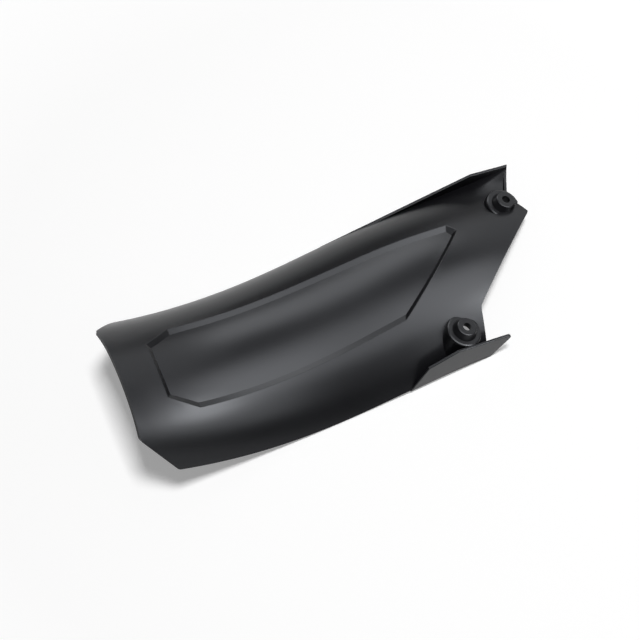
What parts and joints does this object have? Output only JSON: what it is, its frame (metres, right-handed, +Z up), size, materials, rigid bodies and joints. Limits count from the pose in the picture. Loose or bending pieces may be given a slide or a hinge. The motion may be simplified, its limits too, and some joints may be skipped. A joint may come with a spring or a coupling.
{
  "type": "motorcycle shock mud flap",
  "caption": "Arched plastic flap with a recessed panel, upturned side wings and stepped bolt bosses; bolts on ahead of the rear shock to keep mud off it.",
  "frame": {"origin": "middle of the flap's outline seen from above, on the floor it lies on", "axes": "+X along the flap from the lower end to the mount end, +Y across to the long wing, +Z up out of the convex face"},
  "size_m": [0.3468, 0.1416, 0.091],
  "materials": {
    "flap": "satin black polypropylene, as moulded"
  },
  "bodies": {
    "root": {"flap": "flap"}
  },
  "joints": []
}
